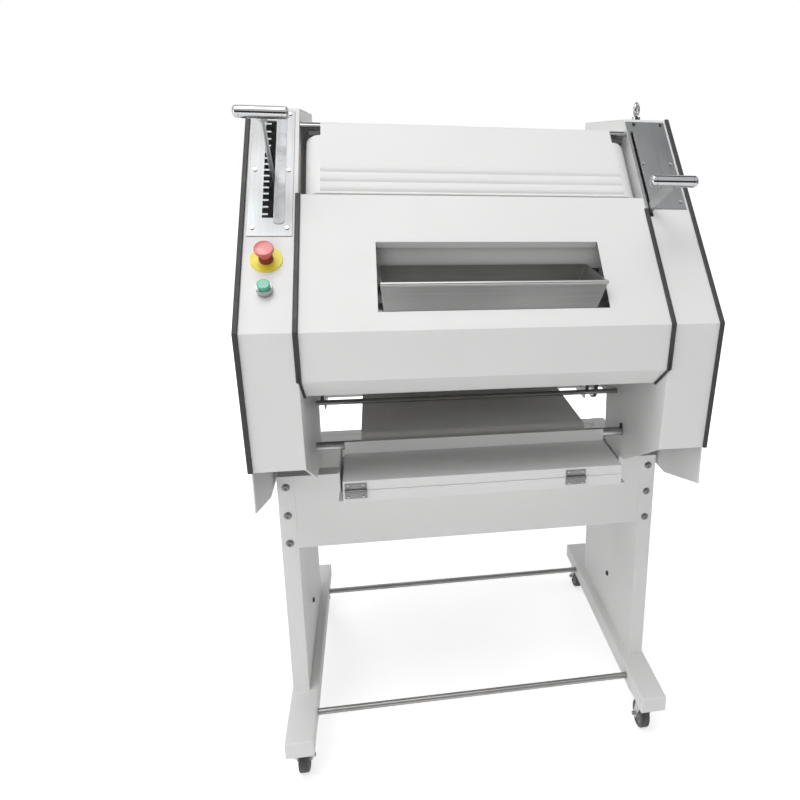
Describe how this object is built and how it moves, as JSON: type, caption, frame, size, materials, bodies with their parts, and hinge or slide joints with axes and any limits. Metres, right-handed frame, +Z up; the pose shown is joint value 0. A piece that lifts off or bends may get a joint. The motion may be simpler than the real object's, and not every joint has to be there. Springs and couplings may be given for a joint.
{
  "type": "baguette moulder",
  "caption": "Upright dough moulder on a wheeled stand: sloping hood with a feed hopper, lift-up cover, side levers, buttons and a folding tray.",
  "frame": {"origin": "middle of the bounding box on the floor, under the wheels", "axes": "+X to the right seen from the front, +Y from the hopper side towards the back, +Z up"},
  "size_m": [0.95, 0.9332, 1.583],
  "materials": {
    "white_paint": "smooth white powder coat",
    "stainless": "brushed stainless steel",
    "plate_steel": "plain zinc plated steel",
    "chrome": "polished chrome",
    "aluminium": "satin anodised aluminium",
    "black_trim": "satin black edge trim",
    "drive_rubber": "black drive belt rubber",
    "wheel_rubber": "grey-black caster wheel",
    "red_plastic": "glossy red",
    "yellow_plastic": "satin yellow",
    "green_plastic": "glossy green",
    "white_plastic": "food-grade white board",
    "felt": "woven wool felt",
    "cast_iron": "dark grey cast housings",
    "motor_paint": "grey machine enamel",
    "red_paint": "red enamelled pedal"
  },
  "bodies": {
    "frame": {"left_foot": "white_paint", "right_foot": "white_paint", "left_column": "white_paint", "right_column": "white_paint", "front_beam": "white_paint", "rear_beam": "white_paint", "cross_rods": "chrome", "column_bolts": "chrome", "caster_plates": "plate_steel", "left_side_plate": "white_paint", "right_side_plate": "white_paint", "left_outer_panel": "white_paint", "right_outer_panel": "white_paint", "left_cover": "white_paint", "right_cover": "white_paint", "rear_cover": "white_paint", "outer_trims": "black_trim", "inner_trims": "black_trim", "hood": "white_paint", "hopper": "stainless", "guard_rod": "chrome", "top_cover_pins": "chrome", "control_plates": "stainless", "scale_strip": "aluminium", "plate_screws": "chrome", "stop_disc": "yellow_plastic", "button_bezels": "chrome", "eye_bolt": "chrome", "tray_base": "white_paint", "tray_hinges_fixed": "plate_steel", "felt_belt": "felt", "roller_bearings": "cast_iron", "drive_motor": "motor_paint", "drive_belts": "drive_rubber"},
    "left_lever": {"left_lever_arm": "plate_steel", "left_lever_handle": "chrome"},
    "right_lever": {"right_lever_arm": "plate_steel", "right_lever_handle": "chrome"},
    "pressing_board": {"pressing_board": "white_plastic"},
    "stop_button": {"stop_button": "red_plastic"},
    "start_button": {"start_button": "green_plastic"},
    "top_cover": {"top_cover": "white_paint", "top_cover_bumpers": "black_trim"},
    "tray_leaf": {"tray_leaf": "white_paint", "tray_hinges_folding": "plate_steel"},
    "left_front_fork": {"left_front_fork": "plate_steel"},
    "left_front_wheel": {"left_front_wheel": "wheel_rubber"},
    "right_front_fork": {"right_front_fork": "plate_steel"},
    "right_front_wheel": {"right_front_wheel": "wheel_rubber"},
    "left_rear_fork": {"left_rear_fork": "plate_steel"},
    "left_rear_wheel": {"left_rear_wheel": "wheel_rubber"},
    "right_rear_fork": {"right_rear_fork": "plate_steel"},
    "right_rear_wheel": {"right_rear_wheel": "wheel_rubber"},
    "left_brake_pedal": {"left_brake_pedal": "red_paint"},
    "right_brake_pedal": {"right_brake_pedal": "red_paint"},
    "front_sheeting_roller": {"front_sheeting_roller": "stainless"},
    "rear_sheeting_roller": {"rear_sheeting_roller": "stainless"},
    "front_belt_roller": {"front_belt_roller": "stainless"},
    "rear_belt_roller": {"rear_belt_roller": "stainless"},
    "motor_pulley": {"motor_pulley": "plate_steel"}
  },
  "joints": [
    {"name": "left_lever_turn", "type": "hinge", "parent": "frame", "child": "left_lever", "pos_m": [-0.4165, -0.05692, 1.26162], "axis": [1, 0, 0], "range_deg": [-33.9, 28.5]},
    {"name": "right_lever_turn", "type": "hinge", "parent": "frame", "child": "right_lever", "pos_m": [0.376, -0.05692, 1.26162], "axis": [1, 0, 0], "range_deg": [-53.5, 0]},
    {"name": "pressing_board_lift", "type": "slide", "parent": "frame", "child": "pressing_board", "axis": [0, 0, -1], "range_m": [0, 0.025]},
    {"name": "stop_button_push", "type": "slide", "parent": "frame", "child": "stop_button", "axis": [0, 0.7071, -0.7071], "range_m": [0, 0.004]},
    {"name": "start_button_push", "type": "slide", "parent": "frame", "child": "start_button", "axis": [0, 0.7071, -0.7071], "range_m": [0, 0.004], "stiffness_N_per_m": 300, "springref_m": -0.002},
    {"name": "top_cover_lift", "type": "hinge", "parent": "frame", "child": "top_cover", "pos_m": [0, -0.08308, 1.50699], "axis": [-1, 0, 0], "range_deg": [0, 80]},
    {"name": "tray_leaf_fold", "type": "hinge", "parent": "frame", "child": "tray_leaf", "pos_m": [0, -0.38778, 0.7835], "axis": [1, 0, 0], "range_deg": [0, 178]},
    {"name": "left_front_swivel", "type": "hinge", "parent": "frame", "child": "left_front_fork", "pos_m": [-0.4315, -0.30539, 0.096], "axis": [0, 0, 1], "continuous": true},
    {"name": "left_front_wheel_spin", "type": "hinge", "parent": "left_front_fork", "child": "left_front_wheel", "pos_m": [-0.4315, -0.27738, 0.038], "axis": [1, 0, 0], "continuous": true},
    {"name": "left_rear_swivel", "type": "hinge", "parent": "frame", "child": "left_rear_fork", "pos_m": [-0.4315, 0.38861, 0.096], "axis": [0, 0, 1], "continuous": true},
    {"name": "left_rear_wheel_spin", "type": "hinge", "parent": "left_rear_fork", "child": "left_rear_wheel", "pos_m": [-0.4315, 0.41662, 0.038], "axis": [1, 0, 0], "continuous": true},
    {"name": "left_brake_press", "type": "hinge", "parent": "left_rear_fork", "child": "left_brake_pedal", "pos_m": [-0.4315, 0.40161, 0.0851], "axis": [-1, 0, 0], "range_deg": [0, 6]},
    {"name": "right_front_swivel", "type": "hinge", "parent": "frame", "child": "right_front_fork", "pos_m": [0.4315, -0.30539, 0.096], "axis": [0, 0, 1], "continuous": true},
    {"name": "right_front_wheel_spin", "type": "hinge", "parent": "right_front_fork", "child": "right_front_wheel", "pos_m": [0.4315, -0.27738, 0.038], "axis": [1, 0, 0], "continuous": true},
    {"name": "right_rear_swivel", "type": "hinge", "parent": "frame", "child": "right_rear_fork", "pos_m": [0.4315, 0.38861, 0.096], "axis": [0, 0, 1], "continuous": true},
    {"name": "right_rear_wheel_spin", "type": "hinge", "parent": "right_rear_fork", "child": "right_rear_wheel", "pos_m": [0.4315, 0.41662, 0.038], "axis": [1, 0, 0], "continuous": true},
    {"name": "right_brake_press", "type": "hinge", "parent": "right_rear_fork", "child": "right_brake_pedal", "pos_m": [0.4315, 0.40161, 0.0851], "axis": [-1, 0, 0], "range_deg": [0, 6]},
    {"name": "rear_sheeting_roller_spin", "type": "hinge", "parent": "frame", "child": "rear_sheeting_roller", "pos_m": [0, -0.22038, 1.142], "axis": [1, 0, 0], "continuous": true},
    {"name": "front_sheeting_roller_spin", "type": "hinge", "parent": "frame", "child": "front_sheeting_roller", "pos_m": [0, -0.31334, 1.118], "axis": [1, 0, 0], "continuous": true},
    {"name": "front_belt_roller_spin", "type": "hinge", "parent": "frame", "child": "front_belt_roller", "pos_m": [0, -0.17139, 0.803], "axis": [1, 0, 0], "continuous": true},
    {"name": "rear_belt_roller_spin", "type": "hinge", "parent": "frame", "child": "rear_belt_roller", "pos_m": [0, 0.22662, 0.803], "axis": [1, 0, 0], "continuous": true},
    {"name": "motor_pulley_spin", "type": "hinge", "parent": "frame", "child": "motor_pulley", "pos_m": [0.38, 0.15161, 1.12], "axis": [1, 0, 0], "continuous": true}
  ],
  "couplings": [
    {"joint": "pressing_board_lift", "follows": "right_lever_turn", "m_per_rad": -0.026774},
    {"joint": "front_sheeting_roller_spin", "follows": "rear_sheeting_roller_spin", "ratio": -1},
    {"joint": "front_belt_roller_spin", "follows": "rear_sheeting_roller_spin", "ratio": 1},
    {"joint": "rear_belt_roller_spin", "follows": "rear_sheeting_roller_spin", "ratio": 1},
    {"joint": "motor_pulley_spin", "follows": "rear_sheeting_roller_spin", "ratio": 1}
  ]
}
